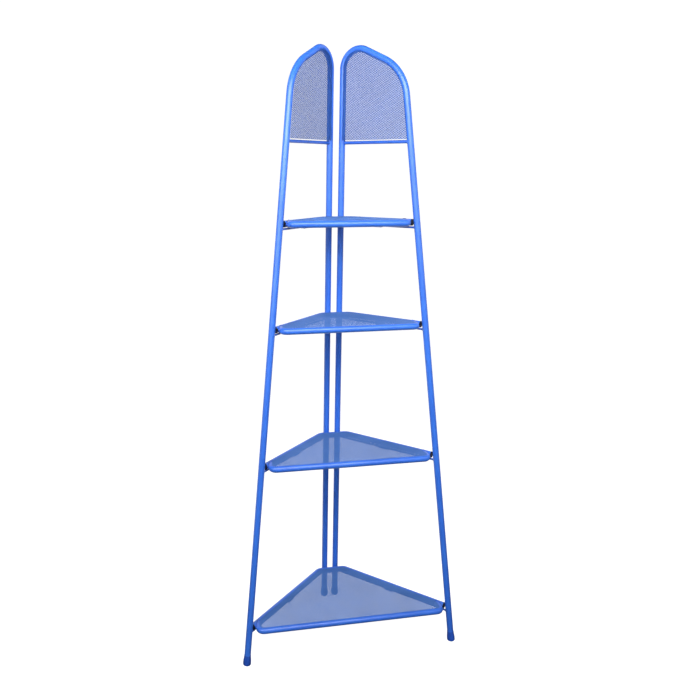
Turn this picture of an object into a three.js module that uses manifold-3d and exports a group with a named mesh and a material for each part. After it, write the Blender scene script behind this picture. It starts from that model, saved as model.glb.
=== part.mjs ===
// Corner shelf unit: two bent-tube side frames at a right angle, four tube-rimmed
// mesh shelves between them, and a mesh panel filling the arch of each side frame.
// A shelf's rim is a bent side tube, open to the front, closed by a bent front bar.
// Millimetres, +Z up, +X to the right seen from the room, +Y into the corner.

import * as THREE from "three";
import Module from "manifold-3d";
import { mergeGeometries, mergeVertices } from "three/addons/utils/BufferGeometryUtils.js";

const wasm = await Module();
wasm.setup();

// Whole unit
const cornerAngle = THREE.MathUtils.degToRad(90);
const rearLegSpacing = 36.8;
const fitGap = 0.3;

// Side frame tube
const tubeRadius = 9.5;
const tubeWall = 1.2;
const tubeSides = 14;
const footReach = 429.4;
const rodReach = 220.5;
const rodHeight = 1505;
const archRise = 283;
const archSlope = THREE.MathUtils.degToRad(25.6);
const rearBendRadius = 51;
const rearBendSteps = 9;
const frontBendRadius = 128;
const frontBendSteps = 6;

// Cross pieces of a side frame
const rodRadius = 4.75;
const rungRadius = 3;
const rodSides = 12;

// Shelves, from the top one down
const shelfHeights = [1285.5, 995, 601, 110.5];
const rimEndSetBack = 16;
const heelReach = 35.4;
const heelBendRadius = 20;
const heelBendSteps = 3;
const frontOverhang = 14;
const frontBarInset = 29;
const barBendRadius = 14;
const barBendSteps = 4;
const plugLength = 10;
const plugHead = 3;
const plugEdge = 1.2;

// Mesh sheets
const sheetThickness = 1.2;
const diamondLength = 66;
const diamondWidth = 40;
const strandWidth = 4.8;
const edgeLapShare = share(0.5);
const borderShare = share(1.15);
const smallestHoleShare = share(0.08);
const firstRowShare = share(0.4);
const panelBottomLift = 11;
const panelBorder = 7;

// Saddles that sit a shelf on its rungs
const saddleThickness = 1;
const saddleLength = 30;
const saddleDrop = 9;
const saddlePlace = share(0.5);

// Foot caps
const capRadius = 11.9;
const capHeight = 30;
const capFloor = 6;
const capEdge = 2;
const capSides = 18;

// Colours
const tubeBlue = 0x2f66e0;
const meshBlue = 0x6f8fe0;
const shelfMeshBlue = 0x5f7fd0;
const capBlue = 0x2a58c8;
const plugBlack = 0x15171c;

const up = new THREE.Vector3(0, 0, 1);
const wallward = new THREE.Vector3(0, 1, 0);
const frontLegLean = Math.atan((footReach - rodReach) / rodHeight);

function share(value) {
  return value;
}

// Path of straight runs joined by round bends. A sweep along it gets one ring of
// corners at each knot: two per straight run and one per step of a bend.
class BentPath extends THREE.Curve {
  constructor(corners, bends) {
    super();
    this.knots = [];
    this.tangents = [];
    const last = corners.length - 1;
    this.addKnot(corners[0], directionTo(corners[0], corners[1]));
    bends.forEach((bend, index) => this.addBend(corners.slice(index, index + 3), bend));
    this.addKnot(corners[last], directionTo(corners[last - 1], corners[last]));
  }

  get runs() {
    return this.knots.length - 1;
  }

  addKnot(point, tangent) {
    this.knots.push(point.clone());
    this.tangents.push(tangent.clone());
  }

  addBend([before, corner, after], { radius, steps }) {
    const incoming = directionTo(before, corner);
    const outgoing = directionTo(corner, after);
    const turn = incoming.angleTo(outgoing);
    const axis = new THREE.Vector3().crossVectors(incoming, outgoing).normalize();
    const toCentre = new THREE.Vector3().crossVectors(axis, incoming);
    const start = corner.clone().addScaledVector(incoming, -radius * Math.tan(turn / 2));
    const centre = start.clone().addScaledVector(toCentre, radius);
    for (let step = 0; step <= steps; step += 1) {
      const angle = (turn * step) / steps;
      const spoke = start.clone().sub(centre).applyAxisAngle(axis, angle);
      this.addKnot(spoke.add(centre), incoming.clone().applyAxisAngle(axis, angle));
    }
  }

  getPointAt(position, target = new THREE.Vector3()) {
    return target.copy(this.knots[Math.round(position * this.runs)]);
  }

  getTangentAt(position, target = new THREE.Vector3()) {
    return target.copy(this.tangents[Math.round(position * this.runs)]);
  }

  // Knots moved sideways, to the left of the path as seen along the given axis.
  insetKnots(axis, insetAt) {
    return this.knots.map((knot, index) => {
      const sideways = new THREE.Vector3().crossVectors(axis, this.tangents[index]);
      return knot.clone().addScaledVector(sideways, insetAt(index));
    });
  }
}

function directionTo(from, to) {
  return to.clone().sub(from).normalize();
}

// Distance of the front leg's axis from the rear leg's axis at a height.
function reachAt(height) {
  return footReach - height * Math.tan(frontLegLean);
}

// Boolean work on closed geometries
function toSolid(geometry) {
  const bare = geometry.clone();
  bare.deleteAttribute("normal");
  bare.deleteAttribute("uv");
  const welded = mergeVertices(bare);
  return new wasm.Manifold(
    new wasm.Mesh({
      numProp: 3,
      vertProperties: new Float32Array(welded.attributes.position.array),
      triVerts: new Uint32Array(welded.index.array),
    }),
  );
}

function toGeometry(solid) {
  const mesh = solid.getMesh();
  const geometry = new THREE.BufferGeometry();
  geometry.setAttribute("position", new THREE.BufferAttribute(mesh.vertProperties, mesh.numProp));
  geometry.setIndex(new THREE.BufferAttribute(mesh.triVerts, 1));
  return geometry;
}

function cut(body, ...tools) {
  return toGeometry(tools.reduce((solid, tool) => solid.subtract(toSolid(tool)), toSolid(body)));
}

// The same shape on the other side of the unit's middle plane.
function mirrored(geometry) {
  const copy = geometry.clone();
  const { position } = copy.attributes;
  for (let index = 0; index < position.count; index += 1) {
    position.setX(index, -position.getX(index));
  }
  const order = copy.index ? Array.from(copy.index.array) : [...Array(position.count).keys()];
  for (let first = 0; first < order.length; first += 3) {
    [order[first + 1], order[first + 2]] = [order[first + 2], order[first + 1]];
  }
  copy.setIndex(order);
  return copy;
}

// Side frames are modelled in their own plane: x out along the wall from the rear
// leg, y towards the wall, z up. This stands one in its place on the right.
function onRightSide(geometry) {
  return geometry.rotateZ(-cornerAngle / 2).translate(rearLegSpacing / 2, 0, 0);
}

function circlePoints(radius, sides) {
  return Array.from({ length: sides }, (_, index) => {
    const angle = (2 * Math.PI * index) / sides;
    return new THREE.Vector2(radius * Math.cos(angle), radius * Math.sin(angle));
  });
}

function roundBar(path, radius, sides) {
  return new THREE.ExtrudeGeometry(new THREE.Shape(circlePoints(radius, sides)), {
    steps: path.runs,
    extrudePath: path,
  });
}

function tube(path, radius, wall, sides) {
  const section = new THREE.Shape(circlePoints(radius, sides));
  section.holes.push(new THREE.Path(circlePoints(radius - wall, sides).reverse()));
  return new THREE.ExtrudeGeometry(section, { steps: path.runs, extrudePath: path });
}

// One tube runs up the rear leg, over the arch and down the leaning front leg.
function archPath(tubeEnd) {
  const frontLegDown = new THREE.Vector3(Math.sin(frontLegLean), 0, -Math.cos(frontLegLean));
  const foot = new THREE.Vector3(footReach, 0, 0);
  const archCornerHeight = rodHeight + archRise;
  const slope = Math.tan(archSlope);
  const meetingHeight =
    (archCornerHeight - slope * footReach) / (1 - slope * Math.tan(frontLegLean));
  return new BentPath(
    [
      new THREE.Vector3(0, 0, tubeEnd),
      new THREE.Vector3(0, 0, archCornerHeight),
      new THREE.Vector3(reachAt(meetingHeight), 0, meetingHeight),
      foot.addScaledVector(frontLegDown, -tubeEnd),
    ],
    [
      { radius: rearBendRadius, steps: rearBendSteps },
      { radius: frontBendRadius, steps: frontBendSteps },
    ],
  );
}

// Straight bar across a side frame, its ends coped to the two legs.
function crossBar(height, radius) {
  const reach = reachAt(height);
  const bar = new THREE.CylinderGeometry(radius, radius, reach, rodSides);
  bar.rotateZ(-Math.PI / 2).translate(reach / 2, 0, height);
  const copeRadius = (tubeRadius + fitGap) / Math.cos(Math.PI / tubeSides);
  const copeLength = 4 * tubeRadius;
  const rearCope = new THREE.CylinderGeometry(copeRadius, copeRadius, copeLength, tubeSides);
  rearCope.rotateX(Math.PI / 2);
  const frontCope = rearCope.clone().rotateY(-frontLegLean);
  rearCope.translate(0, 0, height);
  frontCope.translate(reach, 0, height);
  return cut(bar, rearCope, frontCope);
}

// Part of a convex outline that lies inside another; both run anticlockwise.
function clipped(outline, fence) {
  return fence.reduce((kept, from, index) => {
    const to = fence[(index + 1) % fence.length];
    const sideOf = (point) => to.clone().sub(from).cross(point.clone().sub(from));
    return kept.flatMap((point, place) => {
      const next = kept[(place + 1) % kept.length];
      const here = sideOf(point);
      const there = sideOf(next);
      const pieces = here >= 0 ? [point] : [];
      if (here * there < 0) {
        pieces.push(point.clone().lerp(next, here / (here - there)));
      }
      return pieces;
    });
  }, outline);
}

function withoutShortEdges(outline) {
  return outline.filter((point, index) => {
    const next = outline[(index + 1) % outline.length];
    return point.distanceTo(next) > fitGap;
  });
}

// Diamond openings in staggered rows, cut off where they meet the border.
function diamondHoles(fence) {
  const holeLength = diamondLength - 2 * strandWidth;
  const holeWidth = (diamondWidth * holeLength) / diamondLength;
  const fullHole = (holeLength * holeWidth) / 2;
  const bounds = new THREE.Box2().setFromPoints(fence);
  const holes = [];
  const rows = Math.ceil((bounds.max.y - bounds.min.y) / diamondWidth) * 2;
  const columns = Math.ceil((bounds.max.x - bounds.min.x) / diamondLength);
  for (let row = 0; row <= rows; row += 1) {
    const y = bounds.min.y + ((row + firstRowShare) * diamondWidth) / 2;
    for (let column = -1; column <= columns; column += 1) {
      const x = bounds.min.x + (column + (row % 2) / 2) * diamondLength;
      const diamond = [
        new THREE.Vector2(x + holeLength / 2, y),
        new THREE.Vector2(x, y + holeWidth / 2),
        new THREE.Vector2(x - holeLength / 2, y),
        new THREE.Vector2(x, y - holeWidth / 2),
      ];
      const hole = withoutShortEdges(clipped(diamond, fence));
      if (hole.length > 2 && THREE.ShapeUtils.area(hole) > smallestHoleShare * fullHole) {
        holes.push(hole);
      }
    }
  }
  return holes;
}

function plate(outline, thickness) {
  const shape = new THREE.Shape(outline);
  return new THREE.ExtrudeGeometry(shape, { depth: thickness, bevelEnabled: false });
}

function meshSheet(outline, fence) {
  const punches = diamondHoles(fence).map((hole) => plate(hole, 3 * sheetThickness));
  const punchBlock = mergeGeometries(punches).translate(0, 0, -sheetThickness);
  return cut(plate(outline, sheetThickness), punchBlock);
}

// The panel lies on the room side of the arch, its edge just inside the tube's axis.
function panelOutline(extraInset) {
  const path = archPath(rodHeight + panelBottomLift);
  const bottom = rodHeight + panelBottomLift + extraInset;
  const inset = edgeLapShare * tubeRadius + extraInset;
  const knots = path.insetKnots(wallward, () => inset);
  const points = knots.map((knot) => new THREE.Vector2(knot.x, knot.z)).reverse();
  points[0].set(reachAt(bottom) - inset / Math.cos(frontLegLean), bottom);
  points[points.length - 1].y = bottom;
  return points;
}

// How far in front of its tubes' axes a sheet lies whose edge is this far inside them.
function sheetLift(edge) {
  return Math.sqrt(tubeRadius ** 2 - edge ** 2) + fitGap;
}

function panelMesh() {
  const sheet = meshSheet(panelOutline(0), panelOutline(panelBorder));
  const lift = sheetLift(edgeLapShare * tubeRadius);
  return sheet.rotateX(Math.PI / 2).translate(0, -lift, 0);
}

// Point in a shelf's plane above the line that joins the right frame's two legs.
function onFrameLine(reach, height) {
  const along = reach * Math.sin(cornerAngle / 2);
  return new THREE.Vector3(rearLegSpacing / 2 + along, -along, height);
}

function flipped(point) {
  return new THREE.Vector3(-point.x, point.y, point.z);
}

// Centreline of a shelf's front bar: straight across, its ends bent square to run back
// into the side tubes.
function frontBarCorners(height) {
  const leg = onFrameLine(reachAt(height), height);
  const bend = leg.clone().add(new THREE.Vector3(-frontBarInset, -frontOverhang, 0));
  const meeting = leg.clone().add(new THREE.Vector3(-frontBarInset, frontBarInset, 0));
  return { bend, meeting };
}

// One tube runs back along the right rungs, across the corner and out along the left.
function shelfRim(height) {
  const end = onFrameLine(reachAt(height) - rimEndSetBack, height);
  const heel = onFrameLine(heelReach, height);
  const bend = { radius: heelBendRadius, steps: heelBendSteps };
  const path = new BentPath([end, heel, flipped(heel), flipped(end)], [bend, bend]);
  return tube(path, tubeRadius, tubeWall, tubeSides);
}

function sideTubeCope(height) {
  const copeRadius = (tubeRadius + fitGap) / Math.cos(Math.PI / tubeSides);
  const reach = reachAt(height);
  const cope = new THREE.CylinderGeometry(copeRadius, copeRadius, reach, tubeSides);
  return onRightSide(cope.rotateZ(-Math.PI / 2).translate(reach / 2, 0, height));
}

// The bar is welded shut at both ends, so its bore isn't cut.
function frontBar(height) {
  const { bend, meeting } = frontBarCorners(height);
  const bends = { radius: barBendRadius, steps: barBendSteps };
  const corners = [meeting, bend, flipped(bend), flipped(meeting)];
  const bar = roundBar(new BentPath(corners, [bends, bends]), tubeRadius, tubeSides);
  const cope = sideTubeCope(height);
  return cut(bar, cope, mirrored(cope));
}

// Black plug in the cut end of a side tube.
function rimPlug(height) {
  const stemRadius = tubeRadius - tubeWall - fitGap;
  const profile = [
    new THREE.Vector2(0, fitGap - plugLength),
    new THREE.Vector2(stemRadius, fitGap - plugLength),
    new THREE.Vector2(stemRadius, fitGap),
    new THREE.Vector2(tubeRadius, fitGap),
    new THREE.Vector2(tubeRadius, plugHead - plugEdge),
    new THREE.Vector2(tubeRadius - plugEdge, plugHead),
    new THREE.Vector2(0, plugHead),
  ];
  const plug = new THREE.LatheGeometry(profile, tubeSides).rotateZ(-Math.PI / 2);
  return plug.translate(reachAt(height) - rimEndSetBack, 0, height);
}

// The sheet lies on the tubes, its edge just inside their centrelines, and is welded there.
function shelfOutline(height, inset) {
  const { bend, meeting } = frontBarCorners(height);
  const path = new BentPath(
    [
      new THREE.Vector3(0, bend.y, height),
      bend,
      meeting,
      onFrameLine(heelReach, height),
      new THREE.Vector3(0, -heelReach * Math.cos(cornerAngle / 2), height),
    ],
    [
      { radius: barBendRadius, steps: barBendSteps },
      { radius: barBendRadius, steps: heelBendSteps },
      { radius: heelBendRadius, steps: heelBendSteps },
    ],
  );
  const knots = path.insetKnots(up, () => inset).slice(1, -1);
  const right = knots.map((knot) => new THREE.Vector2(knot.x, knot.y));
  const left = right.map((point) => new THREE.Vector2(-point.x, point.y)).reverse();
  return [...right, ...left];
}

function shelfMesh(height) {
  const edge = edgeLapShare * tubeRadius;
  const border = borderShare * tubeRadius;
  const sheet = meshSheet(shelfOutline(height, edge), shelfOutline(height, border));
  return sheet.translate(0, 0, height + sheetLift(edge));
}

function saddleTop(height) {
  return height - tubeRadius - fitGap;
}

function rungHeight(shelfHeight) {
  return saddleTop(shelfHeight) - saddleThickness - fitGap - rungRadius;
}

// Strip bent to an upturned U: its back is fixed under the rim and its two legs hang
// either side of the rung.
function saddle() {
  const inner = rungRadius + fitGap;
  const outer = inner + saddleThickness;
  const chamfer = saddleThickness;
  const profile = new THREE.Shape([
    new THREE.Vector2(-outer, -saddleDrop),
    new THREE.Vector2(-inner, -saddleDrop),
    new THREE.Vector2(-inner, -saddleThickness),
    new THREE.Vector2(inner, -saddleThickness),
    new THREE.Vector2(inner, -saddleDrop),
    new THREE.Vector2(outer, -saddleDrop),
    new THREE.Vector2(outer, -chamfer),
    new THREE.Vector2(outer - chamfer, 0),
    new THREE.Vector2(chamfer - outer, 0),
    new THREE.Vector2(-outer, -chamfer),
  ]);
  const strip = new THREE.ExtrudeGeometry(profile, { depth: saddleLength, bevelEnabled: false });
  strip.translate(0, 0, -saddleLength / 2);
  return strip.rotateX(Math.PI / 2).rotateZ(Math.PI / 2);
}

function placedSaddle(height) {
  return saddle().translate(saddlePlace * reachAt(height), 0, saddleTop(height));
}

// Cup over a tube's end, turned about the leg's axis and ground flat on the floor.
function footCap(lean) {
  const bore = tubeRadius + fitGap;
  const below = capRadius * Math.tan(lean);
  const profile = [
    new THREE.Vector2(0, -below),
    new THREE.Vector2(capRadius - capEdge, -below),
    new THREE.Vector2(capRadius - capEdge / 4, capEdge / 2 - below),
    new THREE.Vector2(capRadius, 2 * capEdge - below),
    new THREE.Vector2(capRadius, capHeight - capEdge / 2),
    new THREE.Vector2(capRadius - capEdge / 2, capHeight),
    new THREE.Vector2(bore, capHeight),
    new THREE.Vector2(bore, capFloor),
    new THREE.Vector2(0, capFloor),
  ];
  const cup = new THREE.LatheGeometry(profile, capSides).rotateX(Math.PI / 2).rotateY(-lean);
  const ground = new THREE.BoxGeometry(4 * capRadius, 4 * capRadius, 2 * capHeight);
  return cut(cup, ground.translate(0, 0, -capHeight));
}

function finish(color, roughness, metalness) {
  return new THREE.MeshStandardMaterial({ color, roughness, metalness });
}

const unit = new THREE.Group();
unit.name = "corner_shelf_unit";

function place(name, geometry, material) {
  const mesh = new THREE.Mesh(geometry, material);
  mesh.name = name;
  unit.add(mesh);
}

function placePair(name, build, makeFinish) {
  const right = onRightSide(build());
  place(`right_${name}`, right, makeFinish());
  place(`left_${name}`, mirrored(right), makeFinish());
}

const coatedTube = () => finish(tubeBlue, 0.3, 0.1);
const mouldedPlug = () => finish(plugBlack, 0.6, 0);
const coatedPanelMesh = () => finish(meshBlue, 0.45, 0.1);
const coatedShelfMesh = () => finish(shelfMeshBlue, 0.45, 0.1);
const mouldedCap = () => finish(capBlue, 0.5, 0);

placePair(
  "frame_tube",
  () => tube(archPath(capFloor + fitGap), tubeRadius, tubeWall, tubeSides),
  coatedTube,
);
placePair("panel_rod", () => crossBar(rodHeight, rodRadius), coatedTube);
placePair("panel_mesh", panelMesh, coatedPanelMesh);
placePair("rear_foot_cap", () => footCap(0), mouldedCap);
placePair("front_foot_cap", () => footCap(frontLegLean).translate(footReach, 0, 0), mouldedCap);

shelfHeights.forEach((height, index) => {
  const number = index + 1;
  placePair(`rung_${number}`, () => crossBar(rungHeight(height), rungRadius), coatedTube);
  place(`shelf_${number}_rim`, shelfRim(height), coatedTube());
  place(`shelf_${number}_front_bar`, frontBar(height), coatedTube());
  placePair(`rim_plug_${number}`, () => rimPlug(height), mouldedPlug);
  place(`shelf_${number}_mesh`, shelfMesh(height), coatedShelfMesh());
  placePair(`saddle_${number}`, () => placedSaddle(height), coatedTube);
});

// The frame of reference sits on the floor under the middle of the unit.
const extent = new THREE.Box3().setFromObject(unit);
const middle = extent.getCenter(new THREE.Vector3());
unit.children.forEach((mesh) => mesh.geometry.translate(-middle.x, -middle.y, -extent.min.z));

export default unit;
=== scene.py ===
import math

import bpy
import numpy as np
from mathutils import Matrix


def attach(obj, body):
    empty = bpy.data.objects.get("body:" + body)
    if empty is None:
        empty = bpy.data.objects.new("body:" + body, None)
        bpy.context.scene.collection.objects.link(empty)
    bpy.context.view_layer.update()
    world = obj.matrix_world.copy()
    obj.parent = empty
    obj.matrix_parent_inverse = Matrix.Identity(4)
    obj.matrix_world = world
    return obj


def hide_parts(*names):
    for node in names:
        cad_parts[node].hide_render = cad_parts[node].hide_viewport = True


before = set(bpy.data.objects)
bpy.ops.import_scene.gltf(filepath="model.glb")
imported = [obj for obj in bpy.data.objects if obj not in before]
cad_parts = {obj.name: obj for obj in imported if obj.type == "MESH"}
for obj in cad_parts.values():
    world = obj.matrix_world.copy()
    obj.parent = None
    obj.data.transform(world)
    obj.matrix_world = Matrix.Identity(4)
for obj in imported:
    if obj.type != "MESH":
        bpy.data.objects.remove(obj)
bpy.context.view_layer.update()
print("packed frame loaded:", len(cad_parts), "nodes")

unit = {
    "cornerDepth": 152.05,      # from the frame's middle back to the line of the rear legs
    "rearLegSpacing": 36.8,
    "footReach": 429.4,         # rear leg to front leg, along the wall, on the floor
    "rodReach": 220.5,          # the same at the panel rod
    "rodHeight": 1505.0,
    "shelfHeights": [1285.5, 995.0, 601.0, 110.5],
    "tubeRadius": 9.5,
    "tubeSides": 48,
    "fitGap": 0.3,
}
wallTurn = math.radians(45)     # each side frame stands at this angle to the unit's middle
lean = math.atan((unit["footReach"] - unit["rodReach"]) / unit["rodHeight"])
upward = np.array([0.0, 0.0, 1.0])
sides = {"right": 1, "left": -1}
millimetre = 0.001
colorMix = {"share": 0, "first": 6, "second": 7, "result": 2}   # the Mix node's colour sockets


# Shader maths: a wire is one output socket, and the operators add Math nodes.
class Wire:
    def __init__(self, bench, socket):
        self.bench = bench
        self.socket = socket

    def maths(self, operation, first, second):
        return self.bench.node("ShaderNodeMath", {"operation": operation}, {0: first, 1: second})

    def __add__(self, other):
        return self.maths("ADD", self, other)

    def __radd__(self, other):
        return self.maths("ADD", other, self)

    def __mul__(self, other):
        return self.maths("MULTIPLY", self, other)

    def __rmul__(self, other):
        return self.maths("MULTIPLY", other, self)


# A material being built: node() takes a type, its settings and its sockets' values.
class Bench:
    def __init__(self, name):
        self.material = bpy.data.materials.new(name)
        self.material.use_nodes = True
        self.tree = self.material.node_tree
        self.tree.nodes.clear()

    def node(self, kind, settings=None, sockets=None, output=0):
        made = self.tree.nodes.new(kind)
        for key, value in (settings or {}).items():
            if key == "stops":
                for element, (place, level) in zip(made.color_ramp.elements, value):
                    element.position = place
                    element.color = (level, level, level, 1)
            else:
                setattr(made, key, value)
        for key, value in (sockets or {}).items():
            if isinstance(value, Wire):
                self.tree.links.new(value.socket, made.inputs[key])
            else:
                made.inputs[key].default_value = value
        return Wire(self, made.outputs[output])

    def mixed(self, share, first, second):
        values = {"share": share, "first": first, "second": second}
        sockets = {colorMix[word]: value for word, value in values.items()}
        return self.node("ShaderNodeMix", {"data_type": "RGBA"}, sockets, colorMix["result"])

    def noise(self, scale, detail, roughness=0.5):
        place = self.node("ShaderNodeTexCoord", output="Object")
        sockets = {"Vector": place, "Scale": scale, "Detail": detail, "Roughness": roughness}
        return self.node("ShaderNodeTexNoise", None, sockets)

    # A noise cut to greys: 0 up to the low edge, the top level from the high edge on, and a
    # straight rise between them.
    def graded(self, factor, edges, top=1.0):
        stops = [(edges[0], 0.0), (edges[1], top)]
        return self.node("ShaderNodeValToRGB", {"stops": stops}, {"Fac": factor})

    def finish(self, sockets):
        surface = self.node("ShaderNodeBsdfPrincipled", None, sockets)
        out = self.tree.nodes.new("ShaderNodeOutputMaterial")
        self.tree.links.new(surface.socket, out.inputs["Surface"])
        return self.material


# The usual display curve undone: a short straight part near black, a power above it.
def linearColor(red, green, blue):
    def linear(level):
        level /= 255
        return level / 12.92 if level <= 0.04045 else ((level + 0.055) / 1.055) ** 2.4
    return (linear(red), linear(green), linear(blue), 1.0)


coating = {
    "patchScale": 9.0, "patchDetail": 4.0, "patchEdges": (0.35, 0.65),       # change of tone
    "peelScale": 420.0, "peelDetail": 2.0, "peelRoughness": 0.45,            # orange peel
    "peelStrength": 0.5, "peelHeight": 0.00012,                              # metres
    "speckScale": 1092.0, "speckDetail": 1.0, "speckEdges": (0.62, 0.72),    # paler grains
    "speckShare": 0.16, "speckLift": 40,
    "patchDulling": 0.10, "peelDulling": 0.08, "coatRoughness": 0.2,         # gloss
}


# Powder coat: two blues mixed by a slow noise, orange peel from a fine noise as height,
# and a gloss that varies with both.
def powderCoat(name, tone, deepTone, roughness, coat=0.5, shine=0.5, peel=1.0):
    bench = Bench(name)
    slow = bench.noise(coating["patchScale"], coating["patchDetail"])
    patches = bench.graded(slow, coating["patchEdges"])
    specks = bench.noise(coating["speckScale"], coating["speckDetail"])
    grain = bench.noise(coating["peelScale"], coating["peelDetail"], coating["peelRoughness"])
    color = bench.mixed(patches, linearColor(*tone), linearColor(*deepTone))
    flecks = bench.graded(specks, coating["speckEdges"], coating["speckShare"])
    paleTone = [min(255, level + coating["speckLift"]) for level in tone]
    bump = bench.node("ShaderNodeBump", None, {
        "Strength": coating["peelStrength"] * peel,
        "Distance": coating["peelHeight"],
        "Height": grain,
    })
    return bench.finish({
        "Base Color": bench.mixed(flecks, color, linearColor(*paleTone)),
        "Roughness": roughness + coating["patchDulling"] * patches + coating["peelDulling"] * grain,
        "Coat Weight": coat,
        "Coat Roughness": coating["coatRoughness"],
        "Specular IOR Level": shine,
        "Normal": bump,
    })


moulding = {
    "patchScale": 40.0, "patchDetail": 3.0, "patchEdges": (0.35, 0.7),
    "grainScale": 1600.0, "grainDetail": 2.0, "grainStrength": 0.35, "grainHeight": 0.00008,
    "grainDulling": 0.12, "shine": 0.4,
}


# Moulded plastic: a fine matt grain over a slow change of tone.
def mouldedPlastic(name, tone, deepTone, roughness):
    bench = Bench(name)
    slow = bench.noise(moulding["patchScale"], moulding["patchDetail"])
    patches = bench.graded(slow, moulding["patchEdges"])
    grain = bench.noise(moulding["grainScale"], moulding["grainDetail"])
    bump = bench.node("ShaderNodeBump", None, {
        "Strength": moulding["grainStrength"],
        "Distance": moulding["grainHeight"],
        "Height": grain,
    })
    return bench.finish({
        "Base Color": bench.mixed(patches, linearColor(*tone), linearColor(*deepTone)),
        "Roughness": roughness + moulding["grainDulling"] * grain,
        "Specular IOR Level": moulding["shine"],
        "Normal": bump,
    })


coats = {
    "glossyTubeCoat": {"tone": (52, 114, 222), "deepTone": (42, 102, 212), "roughness": 0.36},
    "glossyRodCoat": {"tone": (44, 104, 212), "deepTone": (34, 90, 196), "roughness": 0.32},
    "weldCoat": {"tone": (38, 94, 200), "deepTone": (26, 72, 172), "roughness": 0.34, "peel": 2.0},
    "panelMeshCoat": {"tone": (38, 85, 163), "deepTone": (32, 75, 151), "roughness": 0.5,
                      "coat": 0.0, "shine": 0.3},
    # Shelf mesh: its pale, greyish blue is partly the mesh's own coat and partly painted sheen, the
    # white of grazing reflections put into the base colour.
    "shelfMeshCoatAndSheen": {"tone": (78, 122, 197), "deepTone": (68, 112, 185), "roughness": 0.5,
                      "coat": 0.0, "shine": 0.12},
}
plastics = {
    "footCapPlastic": {"tone": (40, 86, 190), "deepTone": (32, 74, 170), "roughness": 0.24},
    # Plug tone: partly the plug's own black plastic, partly painted shade standing in for the shadowed
    # open ends of the side tubes.
    "plugPlasticAndPaintedShade": {"tone": (8, 18, 46), "deepTone": (5, 12, 34), "roughness": 0.6},
}
looks = {name: powderCoat(name, **values) for name, values in coats.items()}
looks.update({name: mouldedPlastic(name, **values) for name, values in plastics.items()})
print("finishes mixed")


# Six times the signed volume of a closed mesh: the sum over its faces, cut into triangles
# about their first corner, of the triple product of the corners. Below zero the faces
# look inwards.
def signedVolume(points, faceSets):
    total = 0.0
    for faces in faceSets:
        first = points[faces[:, 0]]
        for turn in range(1, faces.shape[1] - 1):
            second, third = points[faces[:, turn]], points[faces[:, turn + 1]]
            total += float(np.einsum("ij,ij->", first, np.cross(second, third)))
    return total


creaseAngle = math.radians(38)  # sharper edges than this stay sharp on a smooth piece


# A mesh object from points in millimetres of the row's frame and arrays of faces.
def makePiece(name, points, faceSets, look, replaced=(), smooth=True):
    points = np.asarray(points, float) * millimetre
    faceSets = [np.asarray(faces, np.int32) for faces in faceSets if len(faces)]
    if signedVolume(points - points.mean(0), faceSets) < 0:
        faceSets = [faces[:, ::-1] for faces in faceSets]
    sizes = np.concatenate([np.full(len(faces), faces.shape[1]) for faces in faceSets])
    corners = np.concatenate([faces.ravel() for faces in faceSets])
    mesh = bpy.data.meshes.new(name)
    mesh.vertices.add(len(points))
    mesh.vertices.foreach_set("co", points.ravel())
    mesh.loops.add(len(corners))
    mesh.loops.foreach_set("vertex_index", corners)
    mesh.polygons.add(len(sizes))
    mesh.polygons.foreach_set("loop_start", np.concatenate([[0], np.cumsum(sizes)[:-1]]))
    mesh.polygons.foreach_set("use_smooth", np.full(len(sizes), smooth))
    mesh.update(calc_edges=True)
    mesh.validate()
    mesh.materials.append(looks[look])
    piece = bpy.data.objects.new(name, mesh)
    bpy.context.scene.collection.objects.link(piece)
    if smooth:
        creases = piece.modifiers.new("creases", "EDGE_SPLIT")
        creases.split_angle = creaseAngle
    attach(piece, "root")
    if replaced:
        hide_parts(*replaced)


# Several bodies as one: their points stacked and their face numbers moved along.
def stacked(bodies):
    points, faceSets, start = [], [], 0
    for bodyPoints, bodyFaces in bodies:
        points.append(bodyPoints)
        faceSets += [faces + start for faces in bodyFaces if len(faces)]
        start += len(bodyPoints)
    return np.concatenate(points), faceSets


# Distance along the wall from the rear leg to the leaning front leg, at a height.
def reachAt(height):
    return unit["footReach"] - height * math.tan(lean)


# From a side frame's own plane (x out along the wall from the rear leg, y to the wall,
# z up) to the row's frame: a turn by the wall's angle, a shift, and a mirror on the left.
def onSide(points, side):
    x, y, z = np.asarray(points, float).T
    across = unit["rearLegSpacing"] / 2 + (x + y) * math.sin(wallTurn)
    return np.stack([side * across, unit["cornerDepth"] + (y - x) * math.cos(wallTurn), z], 1)


# From a shelf's plan, measured from the line of the rear legs, to the row's frame.
def onPlan(points):
    return np.asarray(points, float) + [0, unit["cornerDepth"], 0]


# Straight runs joined by round bends. A bend starts radius·tan(turn/2) before its corner
# and goes round the centre that lies one radius to the side of that start.
def bentPath(corners, radii, steps):
    corners = [np.asarray(corner, float) for corner in corners]
    directions = [(b - a) / np.linalg.norm(b - a) for a, b in zip(corners[:-1], corners[1:])]
    points, tangents = [corners[0][None]], [directions[0][None]]
    for corner, radius, before, after in zip(corners[1:-1], radii, directions[:-1], directions[1:]):
        turn = math.acos(float(np.clip(before @ after, -1, 1)))
        sideways = after - before * float(before @ after)
        sideways /= np.linalg.norm(sideways)
        start = corner - before * radius * math.tan(turn / 2)
        angle = np.linspace(0, turn, steps + 1)[:, None]
        points.append(start + radius * (before * np.sin(angle) + sideways * (1 - np.cos(angle))))
        tangents.append(before * np.cos(angle) + sideways * np.sin(angle))
    points.append(corners[-1][None])
    tangents.append(directions[-1][None])
    return np.concatenate(points), np.concatenate(tangents)


# Angles once round a circle, evenly spaced, without the one that closes it.
def roundAngles(count):
    return np.linspace(0, 2 * math.pi, count, endpoint=False)


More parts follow.
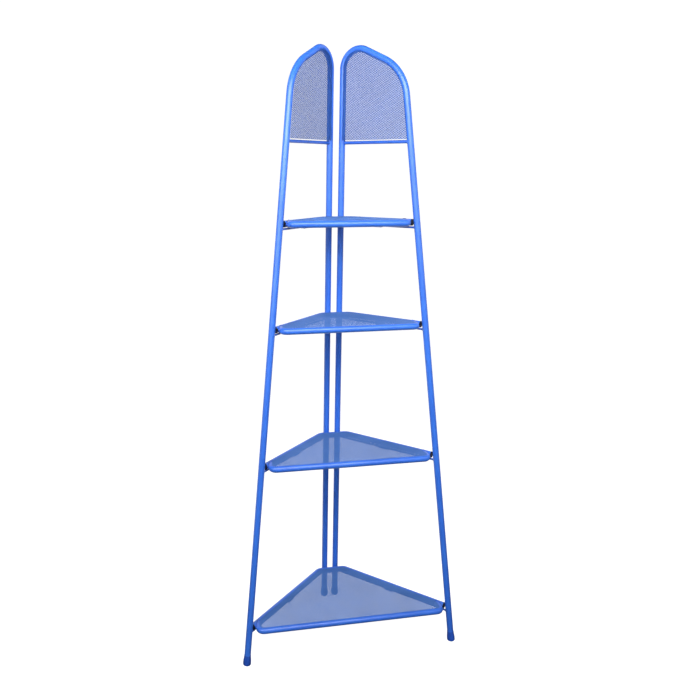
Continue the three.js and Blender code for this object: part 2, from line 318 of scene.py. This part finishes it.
# Grid of rings as quads: ring i, corner j to the next ring and the next corner round.
def ringQuads(rings, corners, closed=False):
    i = np.arange(rings if closed else rings - 1)[:, None]
    j = np.arange(corners)[None]
    here, over = i * corners, ((i + 1) % rings) * corners
    right = (j + 1) % corners
    quads = np.broadcast_arrays(here + j, here + right, over + right, over + j)
    return np.stack(quads, -1).reshape(-1, 4)


# Round tube along a path in a plane: at each knot a circle square to the path, centre +
# radius·(cos a·sideways + sin a·plane's normal). Both ends are shut by flat faces.
def sweptTube(points, tangents, planeNormal, radius, corners):
    angle = roundAngles(corners)[None, :, None]
    sideways = np.cross(planeNormal, tangents)
    ring = np.cos(angle) * sideways[:, None] + np.sin(angle) * planeNormal[None, None]
    rings = points[:, None] + radius * ring
    lastRing = (len(points) - 1) * corners
    ends = np.stack([np.arange(corners)[::-1], lastRing + np.arange(corners)])
    return rings.reshape(-1, 3), [ringQuads(len(points), corners), ends]


# Turned body: each (radius, height) of the profile becomes a ring about the z axis, and
# a radius of zero at either end becomes one point.
def turned(profile, corners):
    profile = np.asarray(profile, float)
    angle = roundAngles(corners)[None]
    inner = profile[1:-1]
    x = inner[:, :1] * np.cos(angle)
    y = inner[:, :1] * np.sin(angle)
    z = np.broadcast_to(inner[:, 1:], x.shape)
    body = np.stack([x, y, z], -1).reshape(-1, 3)
    poles = np.array([[0, 0, profile[0, 1]], [0, 0, profile[-1, 1]]])
    count, j = len(body), np.arange(corners)
    bottom = np.stack([np.full(corners, count), (j + 1) % corners, j], 1)
    lastRing = count - corners
    top = np.stack([np.full(corners, count + 1), lastRing + j, lastRing + (j + 1) % corners], 1)
    return np.concatenate([body, poles]), [ringQuads(len(inner), corners), bottom, top]


# Rounded upper edge of a turned body: a quarter circle from (radius, height - edge) in to
# (radius - edge, height).
def topEdge(radius, height, edge, knots):
    arc = np.linspace(0, math.pi / 2, knots)
    return np.stack([radius - edge + edge * np.cos(arc), height - edge + edge * np.sin(arc)], 1)


frameTube = {"archSlope": 25.6, "archRise": 283.0, "rearBend": 51.0, "frontBend": 128.0,
             "bendSteps": 28, "endLift": 6.3}
legRun = np.array([math.sin(lean), 0.0, -math.cos(lean)])
wallNormal = np.array([0.0, 1.0, 0.0])


# One tube: up the rear leg, over the arch and down the leaning front leg. The arch falls
# from the top of the rear leg, and meets the front leg's line where top - slope·reach and
# footReach - height·tan(lean) are the same point.
def archPath():
    slope = math.tan(math.radians(frameTube["archSlope"]))
    top = unit["rodHeight"] + frameTube["archRise"]
    meeting = (top - slope * unit["footReach"]) / (1 - slope * math.tan(lean))
    foot = np.array([unit["footReach"], 0.0, 0.0])
    corners = [[0, 0, frameTube["endLift"]], [0, 0, top], [reachAt(meeting), 0, meeting],
               foot - legRun * frameTube["endLift"]]
    return bentPath(corners, [frameTube["rearBend"], frameTube["frontBend"]], frameTube["bendSteps"])


archKnots, archTangents = archPath()
for word, side in sides.items():
    body, faces = sweptTube(archKnots, archTangents, wallNormal, unit["tubeRadius"], unit["tubeSides"])
    makePiece(f"{word}FrameTube", onSide(body, side), faces, "glossyTubeCoat",
              [f"{word}_frame_tube"])
print("frame tubes bent")

footCap = {"radius": 11.9, "height": 30.0, "mouth": 10.1, "lip": 0.5, "foot": 4.2, "belly": 9.0,
           "grip": 0.2, "boreFloor": 20.0, "knots": 9, "sides": 48}


# Moulded cup over the end of a leg: a well rounded foot, a belly that draws in to the
# mouth by half a cosine, and a rounded lip round the tube; turned about the leg, then
# pressed flat where it meets the floor.
def footCapBody(legLean):
    r, h, foot, lip = footCap["radius"], footCap["height"], footCap["foot"], footCap["lip"]
    knots, belly, mouth = footCap["knots"], footCap["belly"], footCap["mouth"]
    below = r * math.tan(legLean)
    arc = np.linspace(0, math.pi / 2, knots)
    footArc = np.stack([r - foot + foot * np.sin(arc), foot * (1 - np.cos(arc)) - below], 1)
    climb = np.linspace(0, 1, knots)
    drawn = (r - mouth) * (1 - np.cos(math.pi * climb)) / 2
    wall = np.stack([r - drawn, belly + (h - lip - belly) * climb], 1)
    bore = unit["tubeRadius"] - footCap["grip"]
    inside = [[bore, h], [bore, footCap["boreFloor"]], [0, footCap["boreFloor"]]]
    lipArc = topEdge(mouth, h, lip, knots)[1:]
    profile = np.concatenate([[[0, -below]], footArc, wall, lipArc, inside])
    body, faces = turned(profile, footCap["sides"])
    out, across, rise = body.T
    leaning = np.stack([out * math.cos(legLean) - rise * math.sin(legLean), across,
                        out * math.sin(legLean) + rise * math.cos(legLean)], 1)
    leaning[:, 2] = np.maximum(leaning[:, 2], 0.0)
    return leaning, faces


for word, side in sides.items():
    for end, legLean, reach in (("Rear", 0.0, 0.0), ("Front", lean, unit["footReach"])):
        body, faces = footCapBody(legLean)
        makePiece(f"{word}{end}FootCap", onSide(body + [reach, 0, 0], side), faces,
                  "footCapPlastic", [f"{word}_{end.lower()}_foot_cap"])
print("foot caps moulded")

crossBars = {"rodRadius": 4.75, "rungRadius": 3.0, "saddleThickness": 1.0, "sides": 28,
             "sunk": 2.0}       # distance of a bar's ends from the legs' axes
bead = {"radius": 1.15, "ripple": 0.28, "pitch": 2.1, "fewest": 6, "stations": 96, "sides": 10}
rungDrop = (unit["tubeRadius"] + 2 * unit["fitGap"] + crossBars["saddleThickness"]
            + crossBars["rungRadius"])


# Closed rope of weld: along the curve where a bar meets a tube, a circle whose radius
# swells and shrinks once per pitch, each ring square to the curve.
def weldRope(curve, length):
    ripples = max(bead["fewest"], round(length / bead["pitch"]))
    turn = roundAngles(len(curve))
    ahead = np.roll(curve, -1, 0) - np.roll(curve, 1, 0)
    ahead /= np.linalg.norm(ahead, axis=1)[:, None]
    outward = curve - curve.mean(0)
    outward -= ahead * np.einsum("ij,ij->i", outward, ahead)[:, None]
    outward /= np.linalg.norm(outward, axis=1)[:, None]
    along = np.cross(ahead, outward)
    radius = bead["radius"] * (1 + bead["ripple"] * np.abs(np.sin(turn * ripples / 2)))
    angle = roundAngles(bead["sides"])[None, :, None]
    ring = np.cos(angle) * outward[:, None] + np.sin(angle) * along[:, None]
    rings = curve[:, None] + radius[:, None, None] * ring
    return rings.reshape(-1, 3), [ringQuads(len(curve), bead["sides"], closed=True)]


# Where a level bar of a given radius comes through a leg: x is the leg's surface,
# axis +- sqrt(legRadius^2 - y^2) / cos(lean), as the bar's own circle goes round.
def legJoint(height, barRadius, front):
    angle = roundAngles(bead["stations"])
    y, z = barRadius * np.cos(angle), height + barRadius * np.sin(angle)
    surface = np.sqrt(unit["tubeRadius"] ** 2 - y ** 2)
    x = reachAt(z) - surface / math.cos(lean) if front else surface
    return np.stack([x, y, z], 1)


# Level bar between the legs with a weld rope round each end.
def crossBar(height, radius):
    sunk = crossBars["sunk"]
    ends = np.array([[sunk, 0.0, height], [reachAt(height) - sunk, 0.0, height]])
    tangents = np.tile([1.0, 0.0, 0.0], (2, 1))
    bar = sweptTube(ends, tangents, wallNormal, radius, crossBars["sides"])
    around = 2 * math.pi * radius
    ropes = [weldRope(legJoint(height, radius, front), around) for front in (False, True)]
    return bar, stacked(ropes)


for word, side in sides.items():
    bars = {"panel_rod": (unit["rodHeight"], crossBars["rodRadius"])}
    for number, shelfHeight in enumerate(unit["shelfHeights"], 1):
        bars[f"rung_{number}"] = (shelfHeight - rungDrop, crossBars["rungRadius"])
    for node, (height, radius) in bars.items():
        (body, faces), (rope, ropeFaces) = crossBar(height, radius)
        name = "".join(part.capitalize() for part in node.split("_"))
        makePiece(f"{word}{name}", onSide(body, side), faces, "glossyRodCoat",
                  [f"{word}_{node}"])
        makePiece(f"{word}{name}Welds", onSide(rope, side), ropeFaces, "weldCoat")
print("rods and rungs welded in")

shelf = {"endSetBack": 16.0, "heelReach": 35.4, "heelBend": 20.0, "frontOverhang": 14.0,
         "barInset": 29.0, "barBend": 14.0, "barSunk": 6.0, "bendSteps": 16,
         "jointLength": 75.0}   # once round the weld between a front bar and a side tube


# Point above the line that joins the two legs of the right side frame.
def onFrameLine(reach, height):
    along = reach * math.sin(wallTurn)
    return np.array([unit["rearLegSpacing"] / 2 + along, -along, height])


# Mirror image of a point across the unit's middle plane.
def flipped(point):
    return np.array([-point[0], point[1], point[2]])


# Right half of a shelf's plan: the cut end of its side tube, its heel, and the corner
# and the inner end of its front bar.
def shelfPlan(height):
    leg = onFrameLine(reachAt(height), height)
    inset, overhang = shelf["barInset"], shelf["frontOverhang"]
    return {
        "end": onFrameLine(reachAt(height) - shelf["endSetBack"], height),
        "heel": onFrameLine(shelf["heelReach"], height),
        "barCorner": leg + [-inset, -overhang, 0],
        "barEnd": leg + [-inset, inset, 0],
    }


# Tube in a shelf's plane through two points of its plan and their mirror images, bent at
# the second.
def shelfTube(end, corner, bend):
    corners = [end, corner, flipped(corner), flipped(end)]
    knots, tangents = bentPath(corners, [bend] * 2, shelf["bendSteps"])
    return sweptTube(knots, tangents, upward, unit["tubeRadius"], unit["tubeSides"])


# Where the front bar's end, a tube along y, meets the side tube of the same radius that
# runs past at the wall's angle: the side tube's near flank, seen along y, lies
# sqrt(r^2 - z^2) / sin(angle) in front of its axis at the height z.
def barJoint(height):
    plan, r = shelfPlan(height), unit["tubeRadius"]
    angle = roundAngles(bead["stations"])
    x, z = r * np.cos(angle), r * np.sin(angle)
    axisY = plan["barEnd"][1] - x
    y = axisY - np.sqrt(np.maximum(r ** 2 - z ** 2, 0)) / math.sin(wallTurn)
    return np.stack([plan["barEnd"][0] + x, y, height + z], 1)


plug = {"head": 3.0, "edge": 1.6, "edgeKnots": 6, "dome": 0.15, "stem": 9.7, "stemStep": 1.4,
        "slack": 0.1, "seat": 0.05, "sides": 40}


# Plug: a stem in the bore and a head with a rounded edge, turned about the side tube.
def plugBody(height):
    r, seat = unit["tubeRadius"] - plug["slack"], plug["seat"]
    rounded = topEdge(r, plug["head"], plug["edge"], plug["edgeKnots"])
    stemRadius = r - plug["stemStep"]
    profile = np.concatenate([
        [[0, -plug["stem"]], [stemRadius, -plug["stem"]], [stemRadius, seat], [r, seat]],
        rounded, [[0, plug["head"] + plug["dome"]]]])
    body, faces = turned(profile, plug["sides"])
    x, y, z = body.T
    reach = reachAt(height) - shelf["endSetBack"]
    return np.stack([reach + z, y, height + x], 1), faces


shelfPattern = {"longWay": 9.0, "pitch": 2.3, "strand": 1.856, "thickness": 0.12, "tilt": -0.021}
panelPattern = {"longWay": 9.0, "pitch": 2.3, "strand": 1.62, "thickness": 0.3, "tilt": 0.1}
least = {"ribbon": 1.0, "slice": 1e-6, "rise": 1e-9}   # anything shorter counts as nothing


# Expanded metal between two edges: ribbon r zigzags along the long way, rising and
# falling by half of the pitch that the strand leaves free, so that it just touches its
# neighbours at the bonds. Ribbons are cut to the outline, slices of no length left out.
def expandedSheet(outline, pattern):
    low, high = outline.min(0), outline.max(0)
    rows = np.arange(low[1] + pattern["pitch"] / 2, high[1], pattern["pitch"])
    swing = (pattern["pitch"] - pattern["strand"]) / 2
    halfCell = pattern["longWay"] / 2
    stations = np.arange(low[0] - 2 * halfCell, high[0] + 2 * halfCell, halfCell)
    lift = np.where(np.arange(len(stations)) % 2, swing, -swing)
    a, b = outline, np.roll(outline, -1, 0)
    rise = b[:, 1] - a[:, 1]
    safeRise = np.where(np.abs(rise) < least["rise"], least["rise"], rise)
    share = (rows[:, None] - a[None, :, 1]) / safeRise[None]
    place = a[None, :, 0] + share * (b - a)[None, :, 0]
    crossing = np.where((share >= 0) & (share <= 1), place, np.nan)
    start, stop = np.nanmin(crossing, 1), np.nanmax(crossing, 1)
    long = stop - start > least["ribbon"]
    rows, start, stop = rows[long], start[long], stop[long]
    along = np.clip(stations[None], start[:, None], stop[:, None])
    parity = np.where(np.arange(len(long))[long] % 2, -1.0, 1.0)
    wave = np.interp(along.ravel(), stations, lift).reshape(along.shape) * parity[:, None]
    across = rows[:, None] + wave
    half, thick = pattern["strand"] / 2, pattern["thickness"] / 2
    section = np.array([[-half, -thick], [half, -thick], [half, thick], [-half, thick]])
    corner = np.arange(len(section))
    x = np.repeat(along[..., None], len(section), -1)
    y = across[..., None] + section[:, 0]
    z = np.broadcast_to(section[:, 1] + pattern["tilt"] * section[:, 0], y.shape)
    count, knots = along.shape
    points = np.stack([x, y, z], -1).reshape(-1, 3)
    base = np.arange(count) * knots * len(section)
    live = along[:, 1:] - along[:, :-1] > least["slice"]
    quads = ringQuads(knots, len(section))[None] + base[:, None, None]
    quads = quads[np.repeat(live, len(section), axis=1)]
    startCap = (base + np.argmax(live, 1) * len(section))[:, None] + corner[None, ::-1]
    lastKnot = knots - 1 - np.argmax(live[:, ::-1], 1)
    endCap = (base + lastKnot * len(section))[:, None] + corner[None]
    faces = np.concatenate([quads, startCap, endCap])
    used, faces = np.unique(faces, return_inverse=True)
    return points[used], [faces.reshape(-1, 4)]


panel = {"bottomLift": 6.6, "edgeInset": 4.75, "clearance": 0.6}


# Outline of a panel in its frame's plane: the arch's centreline moved inwards by the
# inset, and shut by a straight edge above the rod.
def panelOutline():
    bottom = unit["rodHeight"] + panel["bottomLift"]
    outward = np.cross(archTangents, wallNormal)
    edge = (archKnots - outward * panel["edgeInset"])[:, [0, 2]]
    edge[0, 1] = bottom
    edge[-1] = [reachAt(bottom) - panel["edgeInset"] / math.cos(lean), bottom]
    return edge


# The sheet lies on the room side of the arch, where a tube's flank is sqrt(r^2 - inset^2)
# in front of its axis.
panelDepth = -math.sqrt(unit["tubeRadius"] ** 2 - panel["edgeInset"] ** 2) - panel["clearance"]
for word, side in sides.items():
    body, faces = expandedSheet(panelOutline(), panelPattern)
    placed = np.stack([body[:, 0], panelDepth - body[:, 2], body[:, 1]], 1)
    makePiece(f"{word}PanelMesh", onSide(placed, side), faces, "panelMeshCoat",
              [f"{word}_panel_mesh"], smooth=False)
print("panel meshes stretched")

sheet = {"sideInset": 4.75, "frontInset": 1.0, "lift": 9.62, "bendSteps": 8}


# Outline of a sheet: its edge follows the centrelines of the side tubes and of the front
# bar, each with its own distance inside them.
def shelfOutline(height):
    plan = shelfPlan(height)
    front = np.array([0.0, plan["barCorner"][1], height])
    back = np.array([0.0, plan["heel"][1], height])
    corners = [front, plan["barCorner"], plan["barEnd"], plan["heel"], back]
    bends = [shelf["barBend"], shelf["barBend"], shelf["heelBend"]]
    knots, tangents = bentPath(corners, bends, sheet["bendSteps"])
    onBar = knots[:, 1] < plan["barEnd"][1] - shelf["barBend"]
    inset = np.where(onBar, sheet["frontInset"], sheet["sideInset"])[:, None]
    edge = (knots + np.cross(upward, tangents) * inset)[1:-1, :2]
    return np.concatenate([edge, (edge * [-1, 1])[::-1]])


for number, height in enumerate(unit["shelfHeights"], 1):
    plan = shelfPlan(height)
    rim, rimFaces = shelfTube(plan["end"], plan["heel"], shelf["heelBend"])
    makePiece(f"shelf{number}Rim", onPlan(rim), rimFaces, "glossyTubeCoat",
              [f"shelf_{number}_rim"])
    barEnd = plan["barEnd"] - [0, shelf["barSunk"], 0]
    bar, barFaces = shelfTube(barEnd, plan["barCorner"], shelf["barBend"])
    makePiece(f"shelf{number}FrontBar", onPlan(bar), barFaces, "glossyTubeCoat",
              [f"shelf_{number}_front_bar"])
    joint = barJoint(height)
    ropes, ropeFaces = stacked([weldRope(joint * [side, 1, 1], shelf["jointLength"])
                                for side in sides.values()])
    makePiece(f"shelf{number}Welds", onPlan(ropes), ropeFaces, "weldCoat")
    # Plugs in the side tubes' cut ends, in the near-black that is partly painted shade.
    for word, side in sides.items():
        body, faces = plugBody(height)
        makePiece(f"{word}RimPlug{number}", onSide(body, side), faces, "plugPlasticAndPaintedShade",
                  [f"{word}_rim_plug_{number}"])
    # Expanded sheet on the shelf, coated in the mesh blue that carries painted sheen.
    body, faces = expandedSheet(shelfOutline(height), shelfPattern)
    placed = body + [0, 0, height + sheet["lift"]]
    makePiece(f"shelf{number}Mesh", onPlan(placed), faces, "shelfMeshCoatAndSheen",
              [f"shelf_{number}_mesh"], smooth=False)
print("shelves rimmed and meshed")

for word in sides:
    for number in range(1, len(unit["shelfHeights"]) + 1):
        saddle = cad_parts[f"{word}_saddle_{number}"]
        saddle.data.materials.clear()
        saddle.data.materials.append(looks["glossyRodCoat"])
print("saddles coated")

studio = {                      # metres
    "flat": 5.0, "curl": 2.5, "wall": 8.0, "split": 0.2, "spans": 32, "curlKnots": 17,
    "tone": (0.26, 0.26, 0.27, 1), "paleTone": (0.3, 0.3, 0.3, 1), "cloudScale": 1.4,
    "cloudDetail": 2.0, "roughness": 0.85, "shine": 0.15, "glow": 1.0,
}


# Pale floor that curls up all round into a wall: a straight run, a quarter circle and an
# upright, turned about a point at the split. It is two halves of one coat, the nearer of
# which is left out of reflections, so that the tubes shine white only along their edges.
def studioSweep():
    flat, curl, spans = studio["flat"], studio["curl"], studio["spans"]
    turn = np.linspace(0, math.pi / 2, studio["curlKnots"])
    out = np.concatenate([[0.0], flat + curl * np.sin(turn), [flat + curl]])
    up = np.concatenate([[0.0], curl * (1 - np.cos(turn)), [studio["wall"]]])
    count = len(out)
    first = np.arange(spans)[:, None] * count + np.arange(count - 1)[None]
    faces = np.stack([first, first + 1, first + count + 1, first + count], -1).reshape(-1, 4)
    bench = Bench("paleFloor")
    cloud = bench.noise(studio["cloudScale"], studio["cloudDetail"])
    coat = bench.finish({
        "Base Color": bench.mixed(cloud, studio["tone"], studio["paleTone"]),
        "Roughness": studio["roughness"],
        "Specular IOR Level": studio["shine"],
        "Emission Color": (1, 1, 1, 1),
        "Emission Strength": studio["glow"],
    })
    for name, begin, reflected in (("studioBackdrop", 0.0, True), ("studioFloor", math.pi, False)):
        angle = (begin + np.linspace(0, math.pi, spans + 1))[:, None]
        grid = np.stack([np.cos(angle) * out, studio["split"] + np.sin(angle) * out,
                         np.broadcast_to(up, (spans + 1, count))], -1)
        mesh = bpy.data.meshes.new(name)
        mesh.from_pydata(grid.reshape(-1, 3).tolist(), [], faces.tolist())
        mesh.polygons.foreach_set("use_smooth", np.ones(len(faces), bool))
        mesh.materials.append(coat)
        sweep = bpy.data.objects.new(name, mesh)
        bpy.context.scene.collection.objects.link(sweep)
        sweep.visible_diffuse = False
        sweep.visible_glossy = reflected


studioSweep()

lamps = {                       # metres and watts
    "key": {"at": (-0.3, -1.15, 2.15), "aim": (0, 0, 1.3), "wide": 1.9, "high": 0.7, "watts": 35},
    "front": {"at": (-0.3, -2.5, 2.0), "aim": (0, 0, 1.4), "wide": 3.0, "high": 1.6, "watts": 36},
    "left": {"at": (-2.1, -1.5, 1.8), "aim": (0, 0, 1.35), "wide": 0.9, "high": 1.2, "watts": 20},
    "right": {"at": (2.0, -1.3, 1.8), "aim": (0, 0, 1.35), "wide": 0.9, "high": 1.2, "watts": 9},
}
roomLight = {"color": (1, 1, 1, 1), "strength": 0.08}


# A lamp shines down its own z axis: it is tilted up from straight down by the angle of
# the way to its target, then turned about the upright to face it.
def pointAt(thing, place, target):
    away = np.asarray(target, float) - np.asarray(place, float)
    thing.location = place
    thing.rotation_euler = (math.atan2(math.hypot(away[0], away[1]), -away[2]), 0,
                            math.atan2(-away[0], away[1]))


for word, lamp in lamps.items():
    light = bpy.data.lights.new(f"{word}Lamp", "AREA")
    light.shape = "RECTANGLE"
    light.size = lamp["wide"]
    light.size_y = lamp["high"]
    light.energy = lamp["watts"]
    holder = bpy.data.objects.new(f"{word}Lamp", light)
    bpy.context.scene.collection.objects.link(holder)
    pointAt(holder, lamp["at"], lamp["aim"])

world = bpy.data.worlds.new("whiteRoom")
world.use_nodes = True
background = world.node_tree.nodes["Background"]
background.inputs["Color"].default_value = roomLight["color"]
background.inputs["Strength"].default_value = roomLight["strength"]
bpy.context.scene.world = world
bpy.context.scene.view_settings.view_transform = "Standard"
print("studio lit")

shot = {"at": (-0.4993, -1.93985, 1.44021), "azimuth": 10.143, "pitch": 14.695,
        "focalPixels": 702.335, "framePixels": 700, "middleX": 293.96, "middleY": 350.0,
        "sensor": 36.0, "near": 0.05, "far": 60}
cameraData = bpy.data.cameras.new("roomView")
cameraData.sensor_width = shot["sensor"]
cameraData.lens = shot["sensor"] * shot["focalPixels"] / shot["framePixels"]
cameraData.shift_x = 0.5 - shot["middleX"] / shot["framePixels"]
cameraData.shift_y = shot["middleY"] / shot["framePixels"] - 0.5
cameraData.clip_start = shot["near"]
cameraData.clip_end = shot["far"]
camera = bpy.data.objects.new("roomView", cameraData)
camera.location = shot["at"]
camera.rotation_euler = (math.radians(90 - shot["pitch"]), 0, math.radians(-shot["azimuth"]))
bpy.context.scene.collection.objects.link(camera)
bpy.context.scene.camera = camera
print("camera placed")
